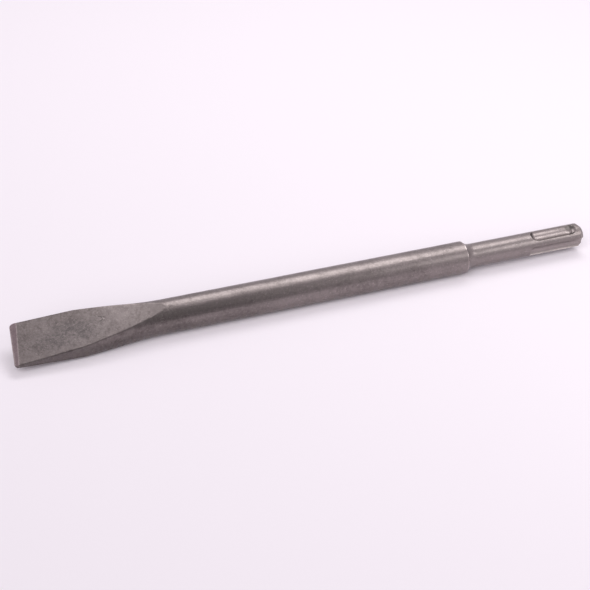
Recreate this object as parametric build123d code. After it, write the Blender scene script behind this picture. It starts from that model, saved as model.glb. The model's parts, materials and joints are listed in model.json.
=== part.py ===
from build123d import *
import math
import os

# Flat chisel bit with a 10 mm slotted hammer shank, forged and machined from one steel bar.
# It is drawn with its axis along +X, from the foremost corner of the cutting edge at X = 0
# to the rear end of the shank, with the blade's width along Y and its faces towards +Z and -Z.
# At the end it is laid down on its round body, with its middle over the origin. Millimetres
# and degrees.

NODE = "chisel_bit"

# Overall sizes
LENGTH = 250.0
BODY_DIAMETER = 13.6
SHANK_DIAMETER = 10.0
SHANK_LENGTH = 57.4

# How it lies on the floor: the blade is turned this far about the axis
LYING_ROLL = 18.0

# Shank: rear end and shoulder
END_CHAMFER = 1.6
END_CHAMFER_ANGLE = 37.0
END_ROUNDING = 0.4
SHOULDER_RADIUS = 6.0
SHOULDER_BEVEL = 0.3

# Closed locking grooves, above and below: distances run from the rear end of the shank
LOCK_BALL_RADIUS = 3.2
LOCK_DEPTH = 2.1
LOCK_FRONT = 25.4
LOCK_REAR = 4.5

# Shallow crescent ledge behind each locking groove
LEDGE_REAR = 3.3
LEDGE_FOOT_RADIUS = 2.6
LEDGE_DEPTH = 0.8
LEDGE_WALL_ANGLE = 45.0

# Drive grooves at both sides, hollow across and open at the rear end
DRIVE_HOLLOW_RADIUS = 3.0
DRIVE_DEPTH = 2.1
DRIVE_LENGTH = 26.4
DRIVE_RUNOUT = 0.6

# Blade: two forged flats that run out on the round body
FLAT_LENGTH = 61.0
RUNOUT_LENGTH = 6.0
RUNOUT_ANGLE = 7.2
TIP_THICKNESS = 1.4

# Blade: top outline
EDGE_WIDTH = 20.0
EDGE_SKEW = 3.0
CORNER_RADIUS = 1.3
SIDE_TAPER_ANGLE = 1.8

# Blade: the round bar swells towards the tip as a cone, blended into the body
FLARE_LENGTH = 54.3
FLARE_ANGLE = 6.0
FLARE_BLEND_RADIUS = 150.0

# Blade: hand-ground cutting bevels, longer at the far side
BEVEL_LENGTH_FAR = 2.6
BEVEL_LENGTH_NEAR = 1.6
EDGE_THICKNESS = 0.2

# Blade: soft forged edges
RIM_ROUNDING = 0.4

BODY_RADIUS = BODY_DIAMETER / 2
SHANK_RADIUS = SHANK_DIAMETER / 2
SHOULDER_X = LENGTH - SHANK_LENGTH

# How far cutting shapes stand out of the steel, and how exactly edges are picked by place
OVERCUT = 2.0
PICKING_MARGIN = 0.01


def slope(angle):
    """Rise per unit of run."""
    return math.tan(math.radians(angle))


def turned_blank():
    """Everything that is round: the swelling at the blade, the body, the shoulder and the shank."""
    swell_start = -OVERCUT
    blend = FLARE_BLEND_RADIUS * slope(FLARE_ANGLE / 2)
    cone_tip_radius = BODY_RADIUS + (FLARE_LENGTH - swell_start) * slope(FLARE_ANGLE)
    cone_end = (
        FLARE_LENGTH - blend * math.cos(math.radians(FLARE_ANGLE)),
        BODY_RADIUS + blend * math.sin(math.radians(FLARE_ANGLE)),
    )
    arc_rise = BODY_RADIUS - SHOULDER_BEVEL - SHANK_RADIUS
    arc_run = math.sqrt(SHOULDER_RADIUS**2 - (SHOULDER_RADIUS - arc_rise) ** 2)
    arc_start_x = SHOULDER_X + SHOULDER_BEVEL
    end_radius = SHANK_RADIUS - END_CHAMFER * slope(END_CHAMFER_ANGLE)

    swell = Line((swell_start, cone_tip_radius), cone_end)
    blend_arc = TangentArc(cone_end, (FLARE_LENGTH + blend, BODY_RADIUS), tangent=swell % 1)
    body = Polyline(
        blend_arc @ 1,
        (SHOULDER_X, BODY_RADIUS),
        (arc_start_x, BODY_RADIUS - SHOULDER_BEVEL),
    )
    shoulder = RadiusArc(body @ 1, (arc_start_x + arc_run, SHANK_RADIUS), -SHOULDER_RADIUS)
    rear = Polyline(
        shoulder @ 1,
        (LENGTH - END_CHAMFER, SHANK_RADIUS),
        (LENGTH, end_radius),
        (LENGTH, 0),
        (swell_start, 0),
        swell @ 0,
    )
    profile = make_face([swell, blend_arc, body, shoulder, rear])
    blank = revolve(profile, Axis.X)
    rear_edges = blank.edges().filter_by(GeomType.CIRCLE).filter_by_position(
        Axis.X, LENGTH - END_CHAMFER - PICKING_MARGIN, LENGTH + PICKING_MARGIN
    )
    return fillet(rear_edges, END_ROUNDING)


def near_corner_x():
    """Where the sharp near corner would be, so that its rounding just reaches X = 0."""
    skew = math.atan2(EDGE_SKEW, EDGE_WIDTH)
    return -CORNER_RADIUS * (1 / math.cos(skew) - 1 + math.tan(skew))


def blade_top_outline():
    """The blade's sides and its skewed cutting edge, seen on the flats."""
    half_width = EDGE_WIDTH / 2
    near_x = near_corner_x()
    far_x = near_x + EDGE_SKEW
    taper_end = FLARE_LENGTH
    rear_half_width = half_width - taper_end * slope(SIDE_TAPER_ANGLE)
    outline = make_face(
        Polyline(
            (near_x, -half_width),
            (taper_end, -rear_half_width),
            (LENGTH + OVERCUT, -rear_half_width),
            (LENGTH + OVERCUT, rear_half_width),
            (taper_end, rear_half_width),
            (far_x, half_width),
            close=True,
        )
    )
    corners = outline.vertices().sort_by(Axis.X)[:2]
    return fillet(corners, CORNER_RADIUS)


def flat_height(x):
    """Half thickness between the two flats at a station along the blade."""
    runout_rise = RUNOUT_LENGTH * slope(RUNOUT_ANGLE)
    wedge_run = FLAT_LENGTH - RUNOUT_LENGTH
    wedge_slope = (BODY_RADIUS - runout_rise - TIP_THICKNESS / 2) / wedge_run
    return TIP_THICKNESS / 2 + wedge_slope * x


def blade_side_outline():
    """The wedge between the two flats, seen from the side."""
    runout_x = FLAT_LENGTH - RUNOUT_LENGTH
    beyond_x = FLAT_LENGTH + OVERCUT
    beyond_z = BODY_RADIUS + OVERCUT * slope(RUNOUT_ANGLE)
    upper = [
        (-OVERCUT, flat_height(-OVERCUT)),
        (runout_x, flat_height(runout_x)),
        (beyond_x, beyond_z),
        (LENGTH + OVERCUT, beyond_z),
    ]
    lower = [(x, -z) for x, z in reversed(upper)]
    return make_face(Plane.XZ * Polyline(*upper, *lower, close=True))


def bevel_plane(side):
    """Plane of one cutting bevel, its normal pointing out of the steel. side is 1 or -1."""
    half_width = EDGE_WIDTH / 2
    edge_x = near_corner_x()
    far_x = edge_x + EDGE_SKEW + BEVEL_LENGTH_FAR
    near_x = edge_x + BEVEL_LENGTH_NEAR
    far_back = Vector(far_x, half_width, side * flat_height(far_x))
    near_back = Vector(near_x, -half_width, side * flat_height(near_x))
    edge = Vector(edge_x + EDGE_SKEW / 2, 0, side * EDGE_THICKNESS / 2)
    normal = (far_back - near_back).cross(edge - near_back) * side
    return Plane(origin=near_back, z_dir=normal)


def is_flat(face):
    """True for the faces that look up or down, leaning no more than the run-out."""
    return abs(face.normal_at().Z) > math.cos(math.radians(RUNOUT_ANGLE + 1))


def forged_blade():
    """The round blank squeezed between the blade's two outlines, with its forged edges softened."""
    reach = EDGE_WIDTH
    blade = turned_blank()
    blade &= extrude(blade_top_outline(), reach, both=True)
    blade &= extrude(blade_side_outline(), reach, both=True)
    flats = blade.faces().filter_by(GeomType.PLANE).filter_by(is_flat)
    rims = flats.edges().filter_by(lambda edge: abs(edge.center().Y) > RIM_ROUNDING)
    return fillet(rims, RIM_ROUNDING)


def ground_bar():
    """The forged bar with both cutting bevels ground on."""
    bar = forged_blade()
    for side in (1, -1):
        bar = split(bar, bisect_by=bevel_plane(side), keep=Keep.BOTTOM)
    return bar


def locking_groove():
    """A round-bottomed groove on top of the shank, closed by a quarter ball at each end."""
    ball_reach = math.sqrt(LOCK_BALL_RADIUS**2 - (LOCK_BALL_RADIUS - LOCK_DEPTH) ** 2)
    front_x = LENGTH - LOCK_FRONT + ball_reach
    rear_x = LENGTH - LOCK_REAR - ball_reach
    ball_z = SHANK_RADIUS - LOCK_DEPTH + LOCK_BALL_RADIUS
    ball = Sphere(LOCK_BALL_RADIUS)
    channel = Rot(0, 90, 0) * Cylinder(LOCK_BALL_RADIUS, rear_x - front_x)
    return (
        Pos(front_x, 0, ball_z) * ball
        + Pos((front_x + rear_x) / 2, 0, ball_z) * channel
        + Pos(rear_x, 0, ball_z) * ball
    )


def locking_ledge():
    """The shallow step round the locking groove's rear end, with a sloping wall behind it."""
    height = LEDGE_DEPTH + OVERCUT
    from_end = LEDGE_REAR + LEDGE_DEPTH / slope(LEDGE_WALL_ANGLE) + LEDGE_FOOT_RADIUS
    tool = Cone(
        LEDGE_FOOT_RADIUS,
        LEDGE_FOOT_RADIUS + height / slope(LEDGE_WALL_ANGLE),
        height,
        align=(Align.CENTER, Align.CENTER, Align.MIN),
    )
    return Pos(LENGTH - from_end, 0, SHANK_RADIUS - LEDGE_DEPTH) * tool


def drive_groove():
    """A hollow groove along the shank's side at +Y, open at the rear end."""
    front_x = LENGTH - DRIVE_LENGTH
    rear_x = LENGTH + OVERCUT
    tool_profile = make_face(
        Polyline(
            (front_x, 0),
            (front_x, DRIVE_HOLLOW_RADIUS - DRIVE_RUNOUT),
            (front_x + DRIVE_RUNOUT, DRIVE_HOLLOW_RADIUS),
            (rear_x, DRIVE_HOLLOW_RADIUS),
            (rear_x, 0),
            close=True,
        )
    )
    tool = revolve(tool_profile, Axis.X)
    return Pos(0, SHANK_RADIUS - DRIVE_DEPTH + DRIVE_HOLLOW_RADIUS, 0) * tool


def chisel_bit():
    """The finished bit: the ground bar with its four shank grooves."""
    bit = ground_bar()
    for turn in (0, 180):
        for groove in (locking_groove(), locking_ledge(), drive_groove()):
            bit -= Rot(turn, 0, 0) * groove
    return bit


def laid_down(bit):
    """Rests the bit on the floor, the blade rolled, with its middle over the origin."""
    rolled = Rot(LYING_ROLL, 0, 0) * bit
    return Pos(-LENGTH / 2, 0, -rolled.bounding_box().min.Z) * rolled


os.makedirs("parts", exist_ok=True)
export_step(laid_down(chisel_bit()), f"parts/{NODE}.step")
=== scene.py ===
"""Dresses the flat chisel bit: the forged steel with its blasted skin, ground edge and cut grooves,
and a pale table with soft studio light. Laid out as an add-on, with one operator for each job."""

import json
import math

import bpy
from bpy.props import FloatProperty, FloatVectorProperty, PointerProperty
from mathutils import Matrix, Vector

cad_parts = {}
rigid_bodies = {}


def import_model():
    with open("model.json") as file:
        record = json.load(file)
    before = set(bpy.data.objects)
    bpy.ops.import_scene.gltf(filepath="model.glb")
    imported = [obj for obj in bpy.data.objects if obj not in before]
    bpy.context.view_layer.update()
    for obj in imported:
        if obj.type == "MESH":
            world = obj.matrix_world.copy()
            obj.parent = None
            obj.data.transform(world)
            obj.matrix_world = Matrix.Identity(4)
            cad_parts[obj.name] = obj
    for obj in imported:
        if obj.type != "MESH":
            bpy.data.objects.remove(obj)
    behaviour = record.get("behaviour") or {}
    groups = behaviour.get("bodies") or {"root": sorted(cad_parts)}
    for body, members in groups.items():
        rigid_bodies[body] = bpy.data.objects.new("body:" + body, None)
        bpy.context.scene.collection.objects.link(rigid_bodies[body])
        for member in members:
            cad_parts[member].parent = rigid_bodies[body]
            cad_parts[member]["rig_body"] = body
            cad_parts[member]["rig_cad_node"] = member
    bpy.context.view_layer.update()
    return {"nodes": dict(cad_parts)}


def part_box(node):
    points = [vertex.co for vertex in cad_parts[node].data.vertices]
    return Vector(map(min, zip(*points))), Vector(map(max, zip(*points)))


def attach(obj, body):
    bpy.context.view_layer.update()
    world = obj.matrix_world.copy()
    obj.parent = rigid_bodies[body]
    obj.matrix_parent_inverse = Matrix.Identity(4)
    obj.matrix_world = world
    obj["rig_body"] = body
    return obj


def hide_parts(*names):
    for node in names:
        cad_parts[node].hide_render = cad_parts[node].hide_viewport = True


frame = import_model()

bl_info = {
    "name": "Chisel Bit Finish",
    "version": (1, 0, 0),
    "blender": (4, 5, 0),
    "location": "3D View > Sidebar > Chisel Bit",
    "description": "Forged and blasted steel finish for a flat chisel bit, with its table and studio light",
    "category": "Object",
}

MM = 0.001

# The solid that is dressed, the body that it rides on, and how it lies in the frame
NODE = "chisel_bit"
BODY = "root"
LOW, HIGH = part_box(NODE)
TIP_X = LOW.x
END_X = HIGH.x
AXIS_Z = LOW.z + 6.8475 * MM
ROLL = math.radians(18)

# Round lengths: the body and the shank, which meet at the shoulder
BODY_RADIUS = 6.8 * MM
SHANK_RADIUS = 5.0 * MM
SHANK_LENGTH = 57.4 * MM
SHOULDER_X = END_X - SHANK_LENGTH
END_CHAMFER = 1.6 * MM

# Blade: the flats and their run-outs, the swelling and tapering outline, the skewed edge and its
# bevels, near and far. The corners are rounded, so the edge's line lies a little in front of the tip
FLAT_LENGTH = 61.0 * MM
RUNOUT_LENGTH = 6.0 * MM
RUNOUT_SLOPE = math.tan(math.radians(7.2))
FLARE_LENGTH = 54.3 * MM
FLARE = math.tan(math.radians(6))
SIDE_TAPER = math.tan(math.radians(1.8))
EDGE_WIDTH = 20.0 * MM
EDGE_SKEW = 3.0 * MM
EDGE_INSET = 0.21 * MM
BEVEL_LENGTHS = (1.6 * MM, 2.6 * MM)
BEVEL_REACH = 6.0 * MM

# Shank grooves: distances run from the rear end, and their masks fade over the border
GROOVE_FRONT = 26.4 * MM
LOCK_FRONT = 25.4 * MM
LOCK_REAR = 4.5 * MM
LOCK_HALF_WIDTH = 2.6 * MM
LOCK_BORDER = 0.4 * MM

# Skin: points nearer than this are merged, faces within the small angle may be divided anew, and
# edges sharper than the large one stay crisp
MERGE_DISTANCE = 0.001 * MM
NEARLY_FLAT = math.radians(0.5)
SMOOTH_ANGLE = math.radians(28)

# Skin: from where to where the round lengths are sliced crosswise and brought to their true round,
# and the share of its radius from which a point counts as lying on the round
SLICE_STEP = 4 * MM
BODY_SLICED = (TIP_X + 1.1 * FLAT_LENGTH, SHOULDER_X - 1 * MM)
SHANK_SLICED = (SHOULDER_X + 5 * MM, END_X - 2 * END_CHAMFER)
BODY_ROUND = (TIP_X + FLAT_LENGTH + 2 * MM, SHOULDER_X + 0.01 * MM)
SHANK_ROUND = (SHOULDER_X + 4.3 * MM, END_X - END_CHAMFER - 0.5 * MM)
ROUND_SHARE = 0.985

# Forging relief: there is none this near to the cutting edge, and only the shank's share this near
# to the shoulder. Away from them it grows to the full over the second length
EDGE_CALM, EDGE_GROWTH = 4.0 * MM, 8.0 * MM
SHOULDER_CALM, SHOULDER_GROWTH = 1.0 * MM, 10.0 * MM
SHANK_RELIEF = 0.15
WAVE_SIZE = 9 * MM
RIPPLE_SIZE = 3.5 * MM

# Small dings from handling: distance from the cutting edge, turn about the axis in degrees, width
# and depth
DINGS = (
    (37.2, 66, 1.5, 0.13), (21.0, 118, 1.1, 0.08), (88.0, 25, 1.6, 0.10), (112.0, 205, 2.2, 0.12),
    (141.0, 300, 1.4, 0.09), (166.0, 95, 1.3, 0.07), (30.0, 262, 2.0, 0.12), (55.0, 285, 1.2, 0.08),
)
DING_MESH_EDGE = 0.3 * MM
DING_FULL_DEPTH = 0.2 * MM

# Darker oxide in the middle of the blade's faces: its place, how it is stretched, and where it fades out
MIDDLE_PLACE = (TIP_X + 22 * MM, -1.5 * MM, 0)
MIDDLE_STRETCH = (0.55, 1.3, 0)
MIDDLE_FADE = (3.0 * MM, 11.0 * MM)

# Thin dark curved line on the upper face
MARK_PLACE = (TIP_X + 35.5 * MM, 1.8 * MM, AXIS_Z + 4.2 * MM)
MARK_RADIUS = 1.1 * MM

# The camera, as the photograph was taken: 590 pixels across, 92 mm lens
CAMERA_PLACE = Vector((-0.22122, -0.46074, 0.33310))
CAMERA_AIM = Vector((-0.00830, 0.0, 0.00461))
CAMERA_ROLL = math.radians(2.79)
LENS = 91.85
NEAREST_SEEN = 0.01
FARTHEST_SEEN = 100

# The table is so wide that its edge shows in no view
TABLE_RADIUS = 30.0
TABLE_SIDES = 96

# Square lamps: name, place, the point that they face, width and depth, and brightness
SOFT_BOXES = (
    ("main_soft_box", Vector((0.24, 0.22, 0.62)), Vector((0, 0, 0)), (0.62, 0.30), 2.9),
    ("right_soft_box", Vector((0.30, -0.21, 0.22)), Vector((0.1, 0, 0)), (0.14, 0.14), 2.6),
)

# The wide front light: where it comes from, how wide it looks, and its strength
FRONT_LIGHT_FROM = Vector((-0.48, -0.54, 0.60))
FRONT_LIGHT_ANGLE = math.radians(55)
FRONT_LIGHT_STRENGTH = 2.1

# The dark card in front: its two ends along the bit, its distance from it, the angles between which
# it climbs, and its grey
CARD_ENDS = (-0.3, 0.24)
CARD_DISTANCE = 0.65
CARD_CLIMB = (0.0, math.radians(72))
CARD_STEPS = 12
CARD_GREY = 0.02


def deselect_all():
    """Leaves object mode with nothing selected."""
    if bpy.context.object and bpy.context.object.mode != "OBJECT":
        bpy.ops.object.mode_set(mode="OBJECT")
    bpy.ops.object.select_all(action="DESELECT")


def activate(thing):
    """Selects one object alone and makes it active."""
    deselect_all()
    bpy.context.view_layer.objects.active = thing
    thing.select_set(True)


def apply_modifiers(thing):
    """Applies each modifier of an object in turn."""
    activate(thing)
    for modifier in list(thing.modifiers):
        bpy.ops.object.modifier_apply(modifier=modifier.name)


# Shapes


def pick_nothing(piece, kind):
    """Deselects a piece's whole mesh, sets what is selected next, and leaves edit mode."""
    activate(piece)
    bpy.ops.object.mode_set(mode="EDIT")
    bpy.ops.mesh.select_mode(type=kind)
    bpy.ops.mesh.select_all(action="DESELECT")
    bpy.ops.object.mode_set(mode="OBJECT")


def pick_faces(piece, wanted):
    """Selects the faces whose centre and normal the test accepts."""
    pick_nothing(piece, "FACE")
    for face in piece.data.polygons:
        face.select = wanted(face.center, face.normal)


def pick_edges(piece, wanted):
    """Selects the edges whose two ends the test accepts, and returns their number."""
    pick_nothing(piece, "EDGE")
    points = piece.data.vertices
    count = 0
    for edge in piece.data.edges:
        edge.select = wanted(points[edge.vertices[0]].co, points[edge.vertices[1]].co)
        count += edge.select
    return count


def from_axis(point):
    """A point's distance from the bit's axis."""
    return math.hypot(point.y, point.z - AXIS_Z)


def copied_solid(name):
    """A copy of the solid with its loose triangles merged into one closed skin."""
    activate(frame["nodes"][NODE])
    bpy.ops.object.duplicate()
    piece = bpy.context.object
    bpy.ops.object.parent_clear(type="CLEAR_KEEP_TRANSFORM")
    piece.name = piece.data.name = name
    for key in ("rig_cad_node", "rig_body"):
        del piece[key]
    bpy.ops.object.mode_set(mode="EDIT")
    bpy.ops.mesh.select_all(action="SELECT")
    bpy.ops.mesh.remove_doubles(threshold=MERGE_DISTANCE)
    bpy.ops.mesh.customdata_custom_splitnormals_clear()
    bpy.ops.object.mode_set(mode="OBJECT")
    return piece


def cut_across(piece, start, end):
    """Slices the long facets of one round length crosswise, at even steps."""
    activate(piece)
    bpy.ops.object.mode_set(mode="EDIT")
    count = round((end - start) / SLICE_STEP)
    for number in range(1, count):
        place = start + (end - start) * number / count
        bpy.ops.mesh.select_all(action="SELECT")
        bpy.ops.mesh.bisect(plane_co=(place, 0, 0), plane_no=(1, 0, 0))
    bpy.ops.object.mode_set(mode="OBJECT")


def refine(piece, longest, inside=lambda point: True):
    """Halves the edges in a region that are longer than a given length, until none is left. After
    each pass, flat neighbours are divided anew into less narrow triangles."""
    while pick_edges(piece, lambda a, b: (a - b).length > longest and inside((a + b) / 2)):
        bpy.ops.object.mode_set(mode="EDIT")
        bpy.ops.mesh.subdivide(number_cuts=1)
        bpy.ops.mesh.select_mode(type="FACE")
        bpy.ops.mesh.select_all(action="SELECT")
        bpy.ops.mesh.beautify_fill(angle_limit=NEARLY_FLAT)
        bpy.ops.object.mode_set(mode="OBJECT")


def rounded(piece, name, radius, start, end):
    """Brings the facets of one turned length out to its true round, by a Cast modifier on the axis."""
    group = piece.vertex_groups.new(name=name)
    on_round = [point.index for point in piece.data.vertices
                if start < point.co.x < end and from_axis(point.co) > ROUND_SHARE * radius]
    group.add(on_round, 1.0, "REPLACE")
    deselect_all()
    bpy.ops.object.empty_add(location=(0, 0, AXIS_Z), rotation=(0, math.radians(90), 0))
    axis = bpy.context.object
    cast = piece.modifiers.new(name, "CAST")
    cast.cast_type = "CYLINDER"
    cast.object = axis
    cast.use_transform = True
    cast.factor = 1.0
    cast.use_radius_as_size = False
    cast.size = radius
    cast.vertex_group = name
    apply_modifiers(piece)
    activate(axis)
    bpy.ops.object.delete()


def relief_group(piece, name, weight):
    """A vertex group whose weights come from each point's place."""
    group = piece.vertex_groups.new(name=name)
    for point in piece.data.vertices:
        group.add([point.index], weight(point.co), "REPLACE")
    return group.name


def press_in(piece, name, size, depth, weight):
    """Sinks the skin inwards by a soft cloud pattern, nowhere outwards."""
    clouds = bpy.data.textures.new(name, "CLOUDS")
    clouds.noise_scale = size
    clouds.noise_depth = 2
    displace = piece.modifiers.new(name, "DISPLACE")
    displace.texture = clouds
    displace.texture_coords = "LOCAL"
    displace.mid_level = 1.0
    displace.strength = depth
    displace.vertex_group = relief_group(piece, name, weight)


def forging_weight(point):
    """Full on the forged bar, fading out at the cutting edge, little on the turned shank."""
    to_tip = (point.x - TIP_X - EDGE_CALM) / EDGE_GROWTH
    to_shoulder = (SHOULDER_X - SHOULDER_CALM - point.x) / SHOULDER_GROWTH
    return min(1.0, max(0.0, to_tip), max(SHANK_RELIEF, to_shoulder))


def on_skin(piece, from_tip, turn):
    """The skin's point at a distance from the tip, turned about the axis from the blade's far side."""
    angle = math.radians(turn) + ROLL
    reach = 2 * BODY_RADIUS
    outer = Vector((TIP_X + from_tip * MM, reach * math.cos(angle), AXIS_Z + reach * math.sin(angle)))
    inner = Vector((outer.x, 0, AXIS_Z))
    hit, place, _, _ = piece.ray_cast(outer, inner - outer)
    if not hit:
        raise RuntimeError("a ding misses the skin")
    return place


def dinged(piece):
    """Presses the small dings into the skin, which is made finer round each of them first."""
    bpy.context.view_layer.update()
    places = [(on_skin(piece, from_tip, turn), width * MM, depth * MM)
              for from_tip, turn, width, depth in DINGS]
    for place, width, _ in places:
        refine(piece, DING_MESH_EDGE, lambda point: (point - place).length < width)
    group = piece.vertex_groups.new(name="dings")
    for point in piece.data.vertices:
        for place, width, depth in places:
            away = (point.co - place).length / (width / 2)
            if away < 1:
                group.add([point.index], depth / DING_FULL_DEPTH * (1 - away * away) ** 2, "REPLACE")
    displace = piece.modifiers.new("dings", "DISPLACE")
    displace.mid_level = 0.0
    displace.strength = -DING_FULL_DEPTH
    displace.vertex_group = group.name


# Finishes


def new_group(name, inputs, outputs):
    """An empty shader node group with its sockets, and its first and last nodes."""
    group = bpy.data.node_groups.new(name, "ShaderNodeTree")
    for label, kind, value in inputs:
        socket = group.interface.new_socket(name=label, in_out="INPUT", socket_type=kind)
        if value is not None:
            socket.default_value = value
    for label, kind in outputs:
        group.interface.new_socket(name=label, in_out="OUTPUT", socket_type=kind)
    return group, group.nodes.new("NodeGroupInput"), group.nodes.new("NodeGroupOutput")


def add(tree, kind, inputs=(), **settings):
    """A new node with its settings, and its inputs linked or set, given by name or number."""
    made = tree.nodes.new(kind)
    for name, value in settings.items():
        setattr(made, name, value)
    for name, value in dict(inputs).items():
        if isinstance(value, bpy.types.NodeSocket):
            tree.links.new(value, made.inputs[name])
        else:
            made.inputs[name].default_value = value
    return made


def calc(tree, operation, first, second=0.0, third=0.0):
    """A Math node's result."""
    return add(tree, "ShaderNodeMath", {0: first, 1: second, 2: third}, operation=operation).outputs[0]


def ramp(tree, value, start, end, low=0.0, high=1.0):
    """A value carried softly from one range to another."""
    inputs = {"Value": value, "From Min": start, "From Max": end, "To Min": low, "To Max": high}
    return add(tree, "ShaderNodeMapRange", inputs, interpolation_type="SMOOTHSTEP").outputs["Result"]


def noise(tree, vector, size, detail=2.0, roughness=0.5, distortion=0.0):
    """A noise pattern whose lumps have about the given size."""
    inputs = {"Vector": vector, "Scale": calc(tree, "DIVIDE", 1.0, size), "Detail": detail,
              "Roughness": roughness, "Distortion": distortion}
    return add(tree, "ShaderNodeTexNoise", inputs).outputs["Fac"]


def tinted(tree, factor, colour, tint, blend="MIX"):
    """A colour carried towards another by a mask."""
    inputs = {0: factor, 6: colour, 7: tint}
    return add(tree, "ShaderNodeMix", inputs, data_type="RGBA", blend_type=blend).outputs[2]


def blasted_grain():
    """Fine shot-blasted skin: small round dimples over a soft orange peel, and a mask of single grains for
    painted glints.
    """
    group, start, end = new_group(
        "blasted_grain",
        [("Vector", "NodeSocketVector", None), ("Grain Size", "NodeSocketFloat", 0.4 * MM),
         ("Peel Size", "NodeSocketFloat", 1.3 * MM)],
        [("Height", "NodeSocketFloat"), ("Glint", "NodeSocketFloat")])
    vector, grain, peel = (start.outputs[name] for name in ("Vector", "Grain Size", "Peel Size"))
    scale = calc(group, "DIVIDE", 1.0, grain)
    dimples = add(group, "ShaderNodeTexVoronoi", {"Vector": vector, "Scale": scale}, feature="SMOOTH_F1")
    fine = noise(group, vector, grain, detail=3.0, roughness=0.65)
    soft = noise(group, vector, peel, detail=1.0)
    height = calc(group, "MULTIPLY", fine, 0.4)
    height = calc(group, "MULTIPLY_ADD", dimples.outputs["Distance"], 0.45, height)
    group.links.new(calc(group, "MULTIPLY_ADD", soft, 0.9, height), end.inputs["Height"])
    bright = noise(group, vector, calc(group, "MULTIPLY", grain, 1.6), detail=1.0)
    group.links.new(ramp(group, bright, 0.60, 0.76), end.inputs["Glint"])
    return group


def forge_stains():
    """Cloudy dark oxide left by the forging: broad clouds, blotches in them and a few specks."""
    group, start, end = new_group(
        "forge_stains",
        [("Vector", "NodeSocketVector", None), ("Cloud Size", "NodeSocketFloat", 13 * MM),
         ("Blotch Size", "NodeSocketFloat", 2.6 * MM), ("Speck Size", "NodeSocketFloat", 1.1 * MM)],
        [("Stain", "NodeSocketFloat"), ("Speck", "NodeSocketFloat")])
    vector, cloud_size, blotch_size, speck_size = (
        start.outputs[name] for name in ("Vector", "Cloud Size", "Blotch Size", "Speck Size"))
    clouds = ramp(group, noise(group, vector, cloud_size, 3.0, 0.6, 0.6), 0.36, 0.64)
    blotches = ramp(group, noise(group, vector, blotch_size, 6.0, 0.72, 1.0), 0.40, 0.64)
    mottle = ramp(group, noise(group, vector, speck_size, 4.0, 0.75), 0.36, 0.64)
    broken = calc(group, "MULTIPLY", blotches, ramp(group, clouds, 0.0, 1.0, 0.4, 1.0))
    rough = calc(group, "MULTIPLY_ADD", mottle, 0.35, calc(group, "MULTIPLY", broken, 0.40))
    group.links.new(calc(group, "MULTIPLY_ADD", clouds, 0.25, rough), end.inputs["Stain"])
    specks = ramp(group, noise(group, vector, speck_size, 2.0), 0.70, 0.78)
    group.links.new(calc(group, "MULTIPLY", specks, clouds), end.inputs["Speck"])
    return group


def fine_lines():
    """Thin lines along one direction, as a grinding belt, a cutter or handling leaves them."""
    group, start, end = new_group(
        "fine_lines",
        [("Vector", "NodeSocketVector", None), ("Turn", "NodeSocketVector", (0, 0, 0)),
         ("Spacing", "NodeSocketFloat", 0.25 * MM), ("Length", "NodeSocketFloat", 12 * MM),
         ("Sparse", "NodeSocketFloat", 0.7), ("Patch Size", "NodeSocketFloat", 9 * MM)],
        [("Line", "NodeSocketFloat"), ("Height", "NodeSocketFloat")])
    vector, turn, spacing, length, sparse, patch = (
        start.outputs[name] for name in ("Vector", "Turn", "Spacing", "Length", "Sparse", "Patch Size"))
    turned = add(group, "ShaderNodeMapping", {"Vector": vector, "Rotation": turn}).outputs["Vector"]
    across = calc(group, "DIVIDE", 1.0, spacing)
    stretch = add(group, "ShaderNodeCombineXYZ",
                  {"X": calc(group, "DIVIDE", 1.0, length), "Y": across, "Z": across}).outputs["Vector"]
    drawn = add(group, "ShaderNodeVectorMath", {0: turned, 1: stretch}, operation="MULTIPLY")
    streaks = noise(group, drawn.outputs["Vector"], 1.0, 2.0)
    thin = ramp(group, streaks, sparse, calc(group, "ADD", sparse, 0.05))
    patches = ramp(group, noise(group, vector, patch, 1.0), 0.42, 0.60)
    group.links.new(calc(group, "MULTIPLY", thin, patches), end.inputs["Line"])
    group.links.new(streaks, end.inputs["Height"])
    return group


def edge_wear_and_highlight():
    """Bare, rubbed metal and a painted highlight close to an edge, given the distance from it, broken up
    along its run.
    """
    group, start, end = new_group(
        "edge_wear_and_highlight",
        [("Vector", "NodeSocketVector", None), ("Distance", "NodeSocketFloat", 1.0),
         ("Width", "NodeSocketFloat", 0.4 * MM), ("Break Size", "NodeSocketFloat", 1.5 * MM)],
        [("Worn And Lit", "NodeSocketFloat")])
    vector, distance, width, size = (
        start.outputs[name] for name in ("Vector", "Distance", "Width", "Break Size"))
    broken = ramp(group, noise(group, vector, size, 2.0), 0.30, 0.62, 0.35, 1.3)
    reach = calc(group, "MULTIPLY", width, broken)
    share = calc(group, "DIVIDE", calc(group, "ABSOLUTE", distance), reach)
    group.links.new(ramp(group, share, 0.35, 1.0, 1.0, 0.0), end.inputs["Worn And Lit"])
    return group


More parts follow.
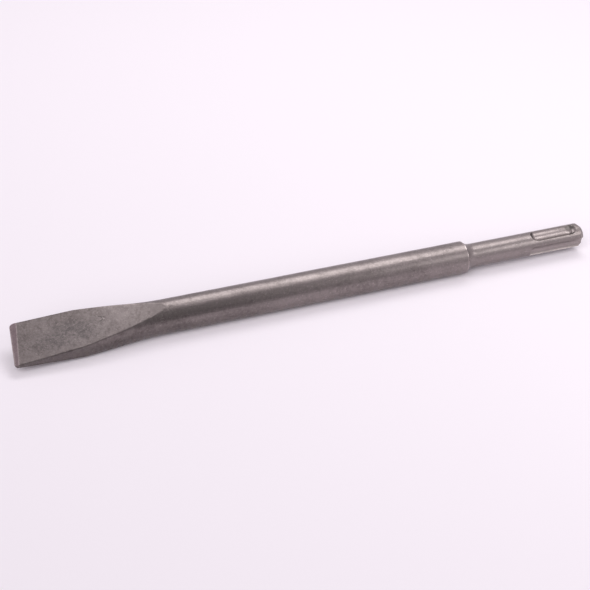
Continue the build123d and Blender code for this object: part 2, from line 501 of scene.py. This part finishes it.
class Steel:
    """A steel material in the making: its nodes, its Principled shader, and its place on the bit,
    as it is and with the blade's roll taken out."""

    def __init__(self, name, groups):
        self.material = bpy.data.materials.new(name)
        self.material.use_nodes = True
        self.tree = self.material.node_tree
        self.groups = groups
        self.shader = self.tree.nodes["Principled BSDF"]
        self.shader.inputs["Metallic"].default_value = 1.0
        self.place = add(self.tree, "ShaderNodeTexCoord").outputs["Object"]
        level = add(self.tree, "ShaderNodeVectorRotate", {
            "Vector": self.place, "Center": (0, 0, AXIS_Z), "Axis": (1, 0, 0), "Angle": -ROLL})
        self.level = level.outputs["Vector"]
        parts = add(self.tree, "ShaderNodeSeparateXYZ", {0: self.level})
        self.along, self.across, self.height = parts.outputs

    def use(self, name, **values):
        """Places one of the shared node groups, with its own values."""
        made = add(self.tree, "ShaderNodeGroup", node_tree=self.groups[name])
        for label, value in {"Vector": self.place, **values}.items():
            socket = made.inputs[label.replace("_", " ")]
            if isinstance(value, bpy.types.NodeSocket):
                self.tree.links.new(value, socket)
            else:
                socket.default_value = value
        return made.outputs

    def bump(self, height, distance, below=None):
        """A Bump node of its own, over another's normal."""
        inputs = {"Height": height, "Distance": distance, "Strength": 1.0}
        if below is not None:
            inputs["Normal"] = below
        return add(self.tree, "ShaderNodeBump", inputs).outputs["Normal"]

    def laid_on(self, colour, mask, strength, tint):
        """A colour carried towards a tint where a mask lies, by a share of the mask."""
        return tinted(self.tree, calc(self.tree, "MULTIPLY", mask, strength), colour, tint)

    def worn_lit_edge(self, distance, width):
        """The mask of rubbed metal with a painted highlight along one edge."""
        return self.use("edge_wear_and_highlight", Distance=distance, Width=width)["Worn And Lit"]

    def side_distance(self):
        """How far inside the bit's outline a point lies, seen square to the blade's faces."""
        from_tip = calc(self.tree, "SUBTRACT", self.along, TIP_X)
        tapered = calc(self.tree, "MULTIPLY_ADD", from_tip, -SIDE_TAPER, EDGE_WIDTH / 2)
        flared = calc(self.tree, "MULTIPLY_ADD", from_tip, -FLARE, BODY_RADIUS + FLARE_LENGTH * FLARE)
        half_width = calc(self.tree, "MAXIMUM", calc(self.tree, "MINIMUM", tapered, flared), BODY_RADIUS)
        return calc(self.tree, "SUBTRACT", half_width, calc(self.tree, "ABSOLUTE", self.across))

    def edge_distance(self):
        """How far behind the skewed cutting edge a point lies."""
        middle = TIP_X + EDGE_SKEW / 2 - EDGE_INSET
        skewed = calc(self.tree, "MULTIPLY_ADD", self.across, EDGE_SKEW / EDGE_WIDTH, middle)
        return calc(self.tree, "SUBTRACT", self.along, skewed)

    def bevel_distance(self):
        """How far behind the bevel's rear line a point lies."""
        near, far = BEVEL_LENGTHS
        length = calc(self.tree, "MULTIPLY_ADD", self.across, (far - near) / EDGE_WIDTH, (far + near) / 2)
        return calc(self.tree, "SUBTRACT", self.edge_distance(), length)

    def run_out(self):
        """The mask of the short, steeper end of both flats, where they run out on the round body."""
        left = calc(self.tree, "SUBTRACT", TIP_X + FLAT_LENGTH, self.along)
        squared = calc(self.tree, "MULTIPLY", self.across, self.across)
        inside = calc(self.tree, "MULTIPLY_ADD", left, 2 * BODY_RADIUS * RUNOUT_SLOPE,
                      calc(self.tree, "MULTIPLY", squared, -1.0))
        behind = ramp(self.tree, left, RUNOUT_LENGTH - 0.1 * MM, RUNOUT_LENGTH + 0.1 * MM, 1.0, 0.0)
        return calc(self.tree, "MULTIPLY", ramp(self.tree, inside, 0.0, 1.0 * MM * MM), behind)

    def lock_end_shade(self):
        """The mask of painted shade in both ends of the locking grooves and along their near lip, thicker at
        the far side.
        """
        inside = ramp(self.tree, calc(self.tree, "ABSOLUTE", self.across),
                      LOCK_HALF_WIDTH, LOCK_HALF_WIDTH + LOCK_BORDER, 1.0, 0.0)
        from_front = calc(self.tree, "SUBTRACT", self.along, END_X - LOCK_FRONT)
        front = ramp(self.tree, from_front, 1.2 * MM, 3.0 * MM, 1.0, 0.0)
        from_rear = calc(self.tree, "SUBTRACT", END_X - LOCK_REAR, self.along)
        rear = ramp(self.tree, calc(self.tree, "ABSOLUTE", from_rear), 0.3 * MM, 2.6 * MM, 1.0, 0.0)
        far = ramp(self.tree, self.across, -0.6 * MM, 0.8 * MM, 0.15, 1.0)
        ends = calc(self.tree, "MAXIMUM", front, calc(self.tree, "MULTIPLY", rear, far))
        near_lip = ramp(self.tree, self.across, -2.2 * MM, -1.0 * MM, 1.0, 0.0)
        return calc(self.tree, "MULTIPLY", calc(self.tree, "MAXIMUM", ends, near_lip), inside)

    def drive_lip_shade(self):
        """The mask of painted shade under the upper lips of the drive grooves."""
        outside = ramp(self.tree, calc(self.tree, "ABSOLUTE", self.across),
                       LOCK_HALF_WIDTH, LOCK_HALF_WIDTH + LOCK_BORDER)
        upper = calc(self.tree, "SUBTRACT", self.height, AXIS_Z)
        return calc(self.tree, "MULTIPLY", outside, ramp(self.tree, upper, 0.8 * MM, 2.0 * MM))

    def dark_middle(self):
        """The mask of the darker oxide that stays in the slightly hollow middle of both faces."""
        off = add(self.tree, "ShaderNodeVectorMath", {0: self.level, 1: MIDDLE_PLACE}, operation="SUBTRACT")
        flat = add(self.tree, "ShaderNodeVectorMath", {0: off.outputs["Vector"], 1: MIDDLE_STRETCH},
                   operation="MULTIPLY")
        away = add(self.tree, "ShaderNodeVectorMath", {0: flat.outputs["Vector"]}, operation="LENGTH")
        return ramp(self.tree, away.outputs["Value"], *MIDDLE_FADE, 1.0, 0.0)

    def curved_mark(self):
        """The mask of a thin dark curved line, open towards the cutting edge."""
        away = add(self.tree, "ShaderNodeVectorMath", {0: self.level, 1: MARK_PLACE}, operation="DISTANCE")
        ring = calc(self.tree, "ABSOLUTE", calc(self.tree, "SUBTRACT", away.outputs["Value"], MARK_RADIUS))
        rear = ramp(self.tree, self.along,
                    MARK_PLACE[0] - 0.6 * MARK_RADIUS, MARK_PLACE[0] + 0.1 * MARK_RADIUS)
        return calc(self.tree, "MULTIPLY", ramp(self.tree, ring, 0.12 * MM, 0.32 * MM, 1.0, 0.0), rear)

    def finish(self, colour, roughness, normal):
        """Links what changes over the surface to the shader."""
        for name, value in (("Base Color", colour), ("Roughness", roughness), ("Normal", normal)):
            self.tree.links.new(value, self.shader.inputs[name])
        return self.material


def shade(colour, share):
    """A colour made darker or lighter."""
    return (*(share * part for part in colour), 1.0)


def forged_steel(settings, groups):
    """The forged and blasted bar: grain with painted glints, oxide clouds, specks, hairline scratches, rubbed
    rims with painted highlights, and darker steel with painted shade towards the tip and sides.
    """
    steel = Steel("forged_blasted_steel", groups)
    tree, base = steel.tree, tuple(settings.steel_colour)
    grain = steel.use("blasted_grain")
    stains = steel.use("forge_stains")
    scratches = steel.use("fine_lines", Turn=(0, 0, math.radians(24)), Sparse=0.66, Length=7 * MM)
    crossed = steel.use("fine_lines", Turn=(0, 0, math.radians(-63)), Sparse=0.68, Length=4 * MM)
    # Darker towards the tip: partly darker heat-treated steel, partly painted shade
    near_tip = ramp(tree, steel.along, TIP_X, TIP_X + settings.tip_shade_length, settings.tip_tint_and_shade, 1.0)
    # Darker along the sides: forged scale on the blade's sides, and painted shade where the mask reaches the
    # round body's sides near the blade
    near_side = ramp(tree, steel.side_distance(), 0.15 * MM, 0.6 * MM, 1.0, 0.0)
    near_side = calc(tree, "MULTIPLY", near_side,
                     ramp(tree, steel.along, TIP_X + FLAT_LENGTH, TIP_X + 2 * FLAT_LENGTH, 1.0, 0.0))
    scale = calc(tree, "MULTIPLY_ADD", near_side, settings.side_scale_and_shade - 1.0, near_tip)
    on_body = ramp(tree, steel.along, TIP_X + FLAT_LENGTH, TIP_X + 1.4 * FLAT_LENGTH,
                   1.0, settings.body_stain)
    stain = calc(tree, "MULTIPLY", stains["Stain"], on_body)
    warm_oxide = shade((base[0], base[1] * 0.97, base[2] * 0.96), 0.50)
    cool_oxide = shade((base[0] * 0.94, base[1], base[2] * 1.04), 0.48)
    colour = steel.laid_on(shade(base, 1.14), stain, settings.stain_amount, warm_oxide)
    patchy = ramp(tree, stains["Stain"], 0.15, 0.75, 0.25, 1.0)
    patchy = calc(tree, "MULTIPLY", patchy, settings.middle_stain)
    colour = steel.laid_on(colour, steel.dark_middle(), patchy, cool_oxide)
    colour = steel.laid_on(colour, stains["Speck"], 0.7, shade(base, 0.38))
    # Painted glints of single blasted grains
    colour = steel.laid_on(colour, grain["Glint"], settings.glint_amount, shade(base, 1.9))
    line = calc(tree, "MAXIMUM", scratches["Line"], crossed["Line"])
    colour = steel.laid_on(colour, line, 0.42, shade(base, 1.7))
    # Run-out painted darker: partly its own tone, partly painted shade of its steeper slope
    colour = steel.laid_on(colour, steel.run_out(), 0.5, shade(base, 0.86))
    colour = steel.laid_on(colour, steel.curved_mark(), 0.7, shade(base, 0.35))
    # Rims rubbed bare, with a painted highlight along them
    rim = calc(tree, "MAXIMUM", steel.worn_lit_edge(steel.bevel_distance(), 0.35 * MM),
               steel.worn_lit_edge(calc(tree, "SUBTRACT", steel.along, SHOULDER_X), 0.5 * MM))
    colour = steel.laid_on(colour, rim, 0.5, shade(base, 2.0))
    grey = add(tree, "ShaderNodeCombineColor", {0: scale, 1: scale, 2: scale}).outputs["Color"]
    colour = tinted(tree, 1.0, colour, grey, "MULTIPLY")
    rough = ramp(tree, stain, 0.0, 1.0, settings.roughness - 0.03, settings.roughness + 0.07)
    rough = calc(tree, "MULTIPLY_ADD", rim, -0.10, rough)
    normal = steel.bump(grain["Height"], settings.grain_depth)
    return steel.finish(colour, rough, steel.bump(line, -0.01 * MM, normal))


def shank_steel(settings, groups):
    """The turned and blasted shank: finer grain with painted glints, faint turning rings, and rubbed rims
    with painted highlights.
    """
    steel = Steel("turned_shank_steel", groups)
    tree, base = steel.tree, tuple(settings.steel_colour)
    grain = steel.use("blasted_grain", Grain_Size=0.34 * MM, Peel_Size=1.0 * MM)
    stains = steel.use("forge_stains", Cloud_Size=9 * MM, Blotch_Size=2.2 * MM)
    scratches = steel.use("fine_lines", Turn=(0, 0, math.radians(8)), Sparse=0.68, Length=9 * MM)
    rings = steel.use("fine_lines", Turn=(0, 0, math.radians(90)), Spacing=0.3 * MM, Length=20 * MM)
    colour = steel.laid_on(shade(base, 1.12), stains["Stain"], 0.5 * settings.stain_amount, shade(base, 0.75))
    # Painted glints of single blasted grains
    colour = steel.laid_on(colour, grain["Glint"], 1.2 * settings.glint_amount, shade(base, 2.1))
    colour = steel.laid_on(colour, scratches["Line"], 0.35, shade(base, 1.7))
    # Rims rubbed bare, with a painted highlight along them
    rim = calc(tree, "MAXIMUM",
               steel.worn_lit_edge(calc(tree, "SUBTRACT", steel.along, END_X - END_CHAMFER), 0.35 * MM),
               steel.worn_lit_edge(calc(tree, "SUBTRACT", steel.along, END_X), 0.30 * MM))
    colour = steel.laid_on(colour, rim, 0.5, shade(base, 1.7))
    rough = ramp(tree, stains["Stain"], 0.0, 1.0, settings.roughness - 0.04, settings.roughness + 0.04)
    normal = steel.bump(grain["Height"], settings.grain_depth)
    return steel.finish(colour, rough, steel.bump(rings["Height"], 0.006 * MM, normal))


def groove_steel(settings, groups):
    """The milled shank grooves: lines along the cut, painted glints, lighter partly by their finish and
    partly by painted light, with painted shade in places.
    """
    steel = Steel("milled_groove_steel", groups)
    tree, base = steel.tree, tuple(settings.steel_colour)
    grain = steel.use("blasted_grain", Grain_Size=0.36 * MM)
    stains = steel.use("forge_stains", Cloud_Size=6 * MM, Blotch_Size=1.8 * MM)
    lines = steel.use("fine_lines", Spacing=0.16 * MM, Length=7 * MM, Sparse=0.60)
    # Lighter than the bar: partly a brighter milled finish, partly painted light on the groove floors
    colour = steel.laid_on(shade(base, 1.38), stains["Stain"], 0.45, shade(base, 0.85))
    # Painted glints of single blasted grains
    colour = steel.laid_on(colour, grain["Glint"], 1.3 * settings.glint_amount, shade(base, 2.2))
    colour = steel.laid_on(colour, lines["Line"], 0.4, shade(base, 1.6))
    # Painted shade in the locking grooves' ends and under the drive grooves' upper lips
    painted_shade = calc(tree, "MAXIMUM", steel.lock_end_shade(), steel.drive_lip_shade())
    painted_shade = calc(tree, "MULTIPLY", painted_shade, settings.groove_painted_shade)
    colour = tinted(tree, painted_shade, colour, shade(base, 0.22))
    rough = ramp(tree, stains["Stain"], 0.0, 1.0, settings.roughness - 0.05, settings.roughness + 0.08)
    rough = calc(tree, "MULTIPLY_ADD", painted_shade, 0.12, rough)
    normal = steel.bump(grain["Height"], 0.8 * settings.grain_depth)
    return steel.finish(colour, rough, steel.bump(lines["Height"], 0.008 * MM, normal))


def ground_steel(settings, groups):
    """The ground cutting bevels: belt lines square to the edge, faintly warm, rubbed bright with a painted
    highlight at the edge.
    """
    steel = Steel("ground_edge_steel", groups)
    tree, base = steel.tree, tuple(settings.steel_colour)
    warm = (base[0] * 1.06, base[1] * 0.96, base[2] * 1.02)
    grain = steel.use("blasted_grain", Grain_Size=0.3 * MM)
    stains = steel.use("forge_stains", Cloud_Size=5 * MM, Blotch_Size=1.6 * MM)
    lines = steel.use("fine_lines", Vector=steel.level, Spacing=0.14 * MM, Length=5 * MM,
                      Sparse=0.56, Patch_Size=4 * MM)
    colour = steel.laid_on(shade(warm, 1.02), stains["Stain"], 0.7, shade(warm, 0.60))
    colour = steel.laid_on(colour, lines["Line"], 0.4, shade(warm, 1.6))
    # Edges rubbed bare, with a painted highlight along them
    rim = calc(tree, "MAXIMUM", steel.worn_lit_edge(steel.edge_distance(), 0.5 * MM),
               steel.worn_lit_edge(steel.bevel_distance(), 0.3 * MM))
    colour = steel.laid_on(colour, rim, 0.45, shade(base, 2.2))
    rough = ramp(tree, stains["Stain"], 0.0, 1.0, settings.roughness - 0.06, settings.roughness + 0.06)
    normal = steel.bump(grain["Height"], 0.6 * settings.grain_depth)
    return steel.finish(colour, rough, steel.bump(lines["Height"], 0.012 * MM, normal))


# Where each finish lies, by a face's centre and normal, and how far past a border the centre must be
SHOULDER_MARGIN = 0.15 * MM
FRONT_MARGIN = 0.1 * MM
CHAMFER_MARGIN = 0.2 * MM
ROUND_MARGIN = 0.06 * MM
LEAST_BEVEL_TILT = math.sin(math.radians(10))


def anywhere(centre, normal):
    """True for every face."""
    return True


def on_shank(centre, normal):
    """True for the faces behind the body's rear corner."""
    return centre.x > SHOULDER_X + SHOULDER_MARGIN


def in_groove(centre, normal):
    """True for the faces of the four shank grooves, which lie inside the shank's round."""
    behind_front = centre.x > END_X - GROOVE_FRONT - FRONT_MARGIN
    before_chamfer = centre.x < END_X - END_CHAMFER - CHAMFER_MARGIN or abs(normal.x) < 0.3
    return behind_front and before_chamfer and from_axis(centre) < SHANK_RADIUS - ROUND_MARGIN


def on_bevel(centre, normal):
    """True for the two ground bevels and the narrow edge between them."""
    sideways = normal.y * math.cos(ROLL) + normal.z * math.sin(ROLL)
    return centre.x < TIP_X + BEVEL_REACH and normal.x < -LEAST_BEVEL_TILT and abs(sideways) < 0.5


# The finishes in the order in which they are laid on, each over the ones before
FINISHES = (
    (forged_steel, anywhere), (shank_steel, on_shank), (groove_steel, in_groove), (ground_steel, on_bevel),
)


def give_finish(piece, material, wanted):
    """Puts a material on the faces that a test of their place and direction accepts."""
    piece.data.materials.append(material)
    pick_faces(piece, wanted)
    piece.active_material_index = len(piece.data.materials) - 1
    bpy.ops.object.mode_set(mode="EDIT")
    bpy.ops.object.material_slot_assign()
    bpy.ops.object.mode_set(mode="OBJECT")


def crisp_border(piece, finish):
    """Marks the edges round one finish's faces as sharp, so that its border stays crisp."""
    pick_nothing(piece, "FACE")
    piece.active_material_index = finish
    bpy.ops.object.mode_set(mode="EDIT")
    bpy.ops.object.material_slot_select()
    bpy.ops.mesh.region_to_loop()
    bpy.ops.mesh.mark_sharp()
    bpy.ops.object.mode_set(mode="OBJECT")


# Stage


def matt_card(name, colour, roughness):
    """A matt card's material."""
    material = bpy.data.materials.new(name)
    material.use_nodes = True
    shader = material.node_tree.nodes["Principled BSDF"]
    shader.inputs["Base Color"].default_value = (*colour, 1.0)
    shader.inputs["Roughness"].default_value = roughness
    shader.inputs["Specular IOR Level"].default_value = 0.0
    return material


def studio_world(colour, seen, cast):
    """A pale surround: one strength where it is seen or mirrored, another for the light it casts."""
    world = bpy.data.worlds.new("pale_surround")
    bpy.context.scene.world = world
    world.use_nodes = True
    tree = world.node_tree
    background = tree.nodes["Background"]
    background.inputs["Color"].default_value = (*colour, 1.0)
    path = add(tree, "ShaderNodeLightPath").outputs
    is_seen = calc(tree, "MAXIMUM", path["Is Camera Ray"], path["Is Glossy Ray"])
    is_seen = calc(tree, "MAXIMUM", is_seen, path["Is Transmission Ray"])
    strength = add(tree, "ShaderNodeMapRange", {"Value": is_seen, "To Min": cast, "To Max": seen})
    tree.links.new(strength.outputs["Result"], background.inputs["Strength"])


def soft_box(name, place, aim, size, radiance):
    """A square lamp that faces a point, given by its place, width, depth and brightness."""
    deselect_all()
    bpy.ops.object.light_add(type="AREA", location=place)
    lamp = bpy.context.object
    lamp.name = lamp.data.name = name
    lamp.rotation_euler = (aim - place).to_track_quat("-Z", "Y").to_euler()
    lamp.data.shape = "RECTANGLE"
    lamp.data.size, lamp.data.size_y = size
    lamp.data.energy = radiance * math.pi * size[0] * size[1]
    lamp.visible_camera = False


def soft_sun(name, direction, angle, strength):
    """A wide, even light from one side, given by where it comes from and how wide it looks."""
    deselect_all()
    bpy.ops.object.light_add(type="SUN", location=direction)
    lamp = bpy.context.object
    lamp.name = lamp.data.name = name
    lamp.rotation_euler = direction.to_track_quat("Z", "Y").to_euler()
    lamp.data.angle = angle
    lamp.data.energy = strength


def front_card():
    """A dark card bent round the bit on the camera's side, which only the steel mirrors."""
    deselect_all()
    bpy.ops.mesh.primitive_plane_add(size=1, location=(0, 0, 0))
    card = bpy.context.object
    card.name = card.data.name = "front_card"
    pick_nothing(card, "VERT")
    for point in card.data.vertices:
        point.select = point.co.y > 0
    bpy.ops.object.mode_set(mode="EDIT")
    bpy.ops.mesh.delete(type="VERT")
    bpy.ops.object.mode_set(mode="OBJECT")
    start, end = CARD_CLIMB
    for point in card.data.vertices:
        along = CARD_ENDS[0] if point.co.x < 0 else CARD_ENDS[1]
        point.co = (along, -CARD_DISTANCE * math.cos(start), CARD_DISTANCE * math.sin(start))
    bpy.ops.object.mode_set(mode="EDIT")
    bpy.ops.mesh.select_all(action="SELECT")
    bpy.ops.mesh.spin(steps=CARD_STEPS, angle=end - start, center=(0, 0, 0), axis=(1, 0, 0))
    bpy.ops.object.mode_set(mode="OBJECT")
    card.data.materials.append(matt_card(card.name, (CARD_GREY, CARD_GREY, CARD_GREY), 1.0))
    card.visible_camera = False
    card.visible_diffuse = False
    card.visible_shadow = False


class ChiselSteelSettings(bpy.types.PropertyGroup):
    """Sizes and colours of the steel."""

    steel_colour: FloatVectorProperty(
        name="Steel Colour", description="Colour that the blasted steel mirrors",
        default=(0.245, 0.214, 0.208), min=0, max=1, size=3, subtype="COLOR")
    roughness: FloatProperty(
        name="Roughness", description="How dull the blasted skin is",
        default=0.36, min=0, max=1, subtype="FACTOR")
    stain_amount: FloatProperty(
        name="Stains", description="Strength of the oxide clouds and blotches",
        default=0.85, min=0, max=1, subtype="FACTOR")
    body_stain: FloatProperty(
        name="Body Stains", description="Strength of the stains on the round body against the blade's",
        default=0.8, min=0, max=1, subtype="FACTOR")
    middle_stain: FloatProperty(
        name="Middle Stain", description="Strength of the dark oxide in the middle of the blade's faces",
        default=0.5, min=0, max=1, subtype="FACTOR")
    # Strength of the painted glints of the blasted grains
    glint_amount: FloatProperty(
        name="Glint", description="Strength of the single bright grains",
        default=0.35, min=0, max=1, subtype="FACTOR")
    grain_depth: FloatProperty(
        name="Grain Depth", description="Depth of the blasted grain",
        default=0.02 * MM, min=0, precision=5, unit="LENGTH")
    # Darkening towards the tip: partly heat-treated steel, partly painted shade
    tip_tint_and_shade: FloatProperty(
        name="Tip Shade", description="Brightness of the heat-treated steel at the tip against the rest",
        default=0.79, min=0, max=1, subtype="FACTOR")
    # Darkening of the sides: forged scale on the blade, painted shade on the round body
    side_scale_and_shade: FloatProperty(
        name="Side Shade", description="Brightness of the scaled sides of the blade against its faces",
        default=0.88, min=0, max=1, subtype="FACTOR")
    tip_shade_length: FloatProperty(
        name="Tip Shade Length", description="How far from the tip that shade reaches",
        default=180 * MM, min=0, unit="LENGTH")
    # Strength of the painted shade in the grooves' ends and under the drive grooves' lips
    groove_painted_shade: FloatProperty(
        name="Groove Shade", description="Strength of the old grease in the locking grooves' ends",
        default=0.9, min=0, max=1, subtype="FACTOR")
    forging_depth: FloatProperty(
        name="Forging Relief", description="Depth of the broad waves that the forging left",
        default=0.07 * MM, min=0, precision=5, unit="LENGTH")
    mesh_edge: FloatProperty(
        name="Longest Edge", description="Edges of the skin longer than this are halved",
        default=0.9 * MM, min=0.1 * MM, unit="LENGTH")


class ChiselStageSettings(bpy.types.PropertyGroup):
    """Table, surround and light."""

    floor_colour: FloatVectorProperty(
        name="Table Colour", description="Colour of the card on the table",
        default=(0.93, 0.87, 0.93), min=0, max=1, size=3, subtype="COLOR")
    surround_seen: FloatProperty(
        name="Surround Seen", description="Strength of the surround where it is seen or mirrored",
        default=0.85, min=0)
    surround_cast: FloatProperty(
        name="Surround Light", description="Strength of the light that the surround casts",
        default=0.33, min=0)


class CHISEL_OT_forged_bit(bpy.types.Operator):
    """Builds the bit's steel skin over the solid"""

    bl_idname = "chisel.forged_bit"
    bl_label = "Forged Bit"
    bl_options = {"REGISTER", "UNDO"}

    def execute(self, context):
        settings = context.scene.chisel_steel
        piece = copied_solid("forged_bit")
        cut_across(piece, *BODY_SLICED)
        cut_across(piece, *SHANK_SLICED)
        refine(piece, settings.mesh_edge)
        rounded(piece, "body", BODY_RADIUS, *BODY_ROUND)
        rounded(piece, "shank", SHANK_RADIUS, *SHANK_ROUND)
        piece.data.materials.clear()
        groups = {group.name: group for group in (blasted_grain(), forge_stains(), fine_lines(), edge_wear_and_highlight())}
        for steel, wanted in FINISHES:
            give_finish(piece, steel(settings, groups), wanted)
        dinged(piece)
        press_in(piece, "forging_waves", WAVE_SIZE, settings.forging_depth, forging_weight)
        press_in(piece, "forging_ripples", RIPPLE_SIZE, 0.3 * settings.forging_depth, forging_weight)
        apply_modifiers(piece)
        activate(piece)
        bpy.ops.object.shade_smooth_by_angle(angle=SMOOTH_ANGLE)
        crisp_border(piece, len(piece.data.materials) - 1)
        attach(piece, BODY)
        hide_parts(NODE)
        return {"FINISHED"}


class CHISEL_OT_stage(bpy.types.Operator):
    """Sets the table, the surround, the lamps and the camera"""

    bl_idname = "chisel.stage"
    bl_label = "Table and Light"
    bl_options = {"REGISTER", "UNDO"}

    def execute(self, context):
        settings = context.scene.chisel_stage
        deselect_all()
        bpy.ops.mesh.primitive_circle_add(
            vertices=TABLE_SIDES, radius=TABLE_RADIUS, fill_type="NGON", location=(0, 0, 0))
        table = context.object
        table.name = table.data.name = "table"
        table.data.materials.append(matt_card("white_card", settings.floor_colour, 0.9))
        studio_world(settings.floor_colour, settings.surround_seen, settings.surround_cast)
        for box in SOFT_BOXES:
            soft_box(*box)
        soft_sun("front_light", FRONT_LIGHT_FROM, FRONT_LIGHT_ANGLE, FRONT_LIGHT_STRENGTH)
        front_card()
        deselect_all()
        bpy.ops.object.camera_add(location=CAMERA_PLACE)
        camera = context.object
        turn = (CAMERA_AIM - CAMERA_PLACE).to_track_quat("-Z", "Y").to_matrix()
        camera.rotation_euler = (turn @ Matrix.Rotation(CAMERA_ROLL, 3, "Z")).to_euler()
        camera.data.lens = LENS
        camera.data.clip_start = NEAREST_SEEN
        camera.data.clip_end = FARTHEST_SEEN
        context.scene.camera = camera
        context.scene.view_settings.view_transform = "Standard"
        return {"FINISHED"}


class CHISEL_PT_panel(bpy.types.Panel):
    """Lists the settings and the two jobs"""

    bl_label = "Chisel Bit"
    bl_idname = "CHISEL_PT_panel"
    bl_space_type = "VIEW_3D"
    bl_region_type = "UI"
    bl_category = "Chisel Bit"

    def draw(self, context):
        layout = self.layout
        for settings in (context.scene.chisel_steel, context.scene.chisel_stage):
            box = layout.box()
            for name in type(settings).__annotations__:
                box.prop(settings, name)
        layout.operator(CHISEL_OT_forged_bit.bl_idname)
        layout.operator(CHISEL_OT_stage.bl_idname)


CLASSES = (ChiselSteelSettings, ChiselStageSettings, CHISEL_OT_forged_bit, CHISEL_OT_stage, CHISEL_PT_panel)


def register():
    """Adds the settings, the two jobs and the panel to Blender."""
    for cls in CLASSES:
        bpy.utils.register_class(cls)
    bpy.types.Scene.chisel_steel = PointerProperty(type=ChiselSteelSettings)
    bpy.types.Scene.chisel_stage = PointerProperty(type=ChiselStageSettings)


def unregister():
    """Takes them out again."""
    del bpy.types.Scene.chisel_stage
    del bpy.types.Scene.chisel_steel
    for cls in reversed(CLASSES):
        bpy.utils.unregister_class(cls)


def main():
    """Makes everything in order."""
    register()
    bpy.ops.chisel.stage()
    bpy.ops.chisel.forged_bit()


if __name__ == "__main__":
    main()
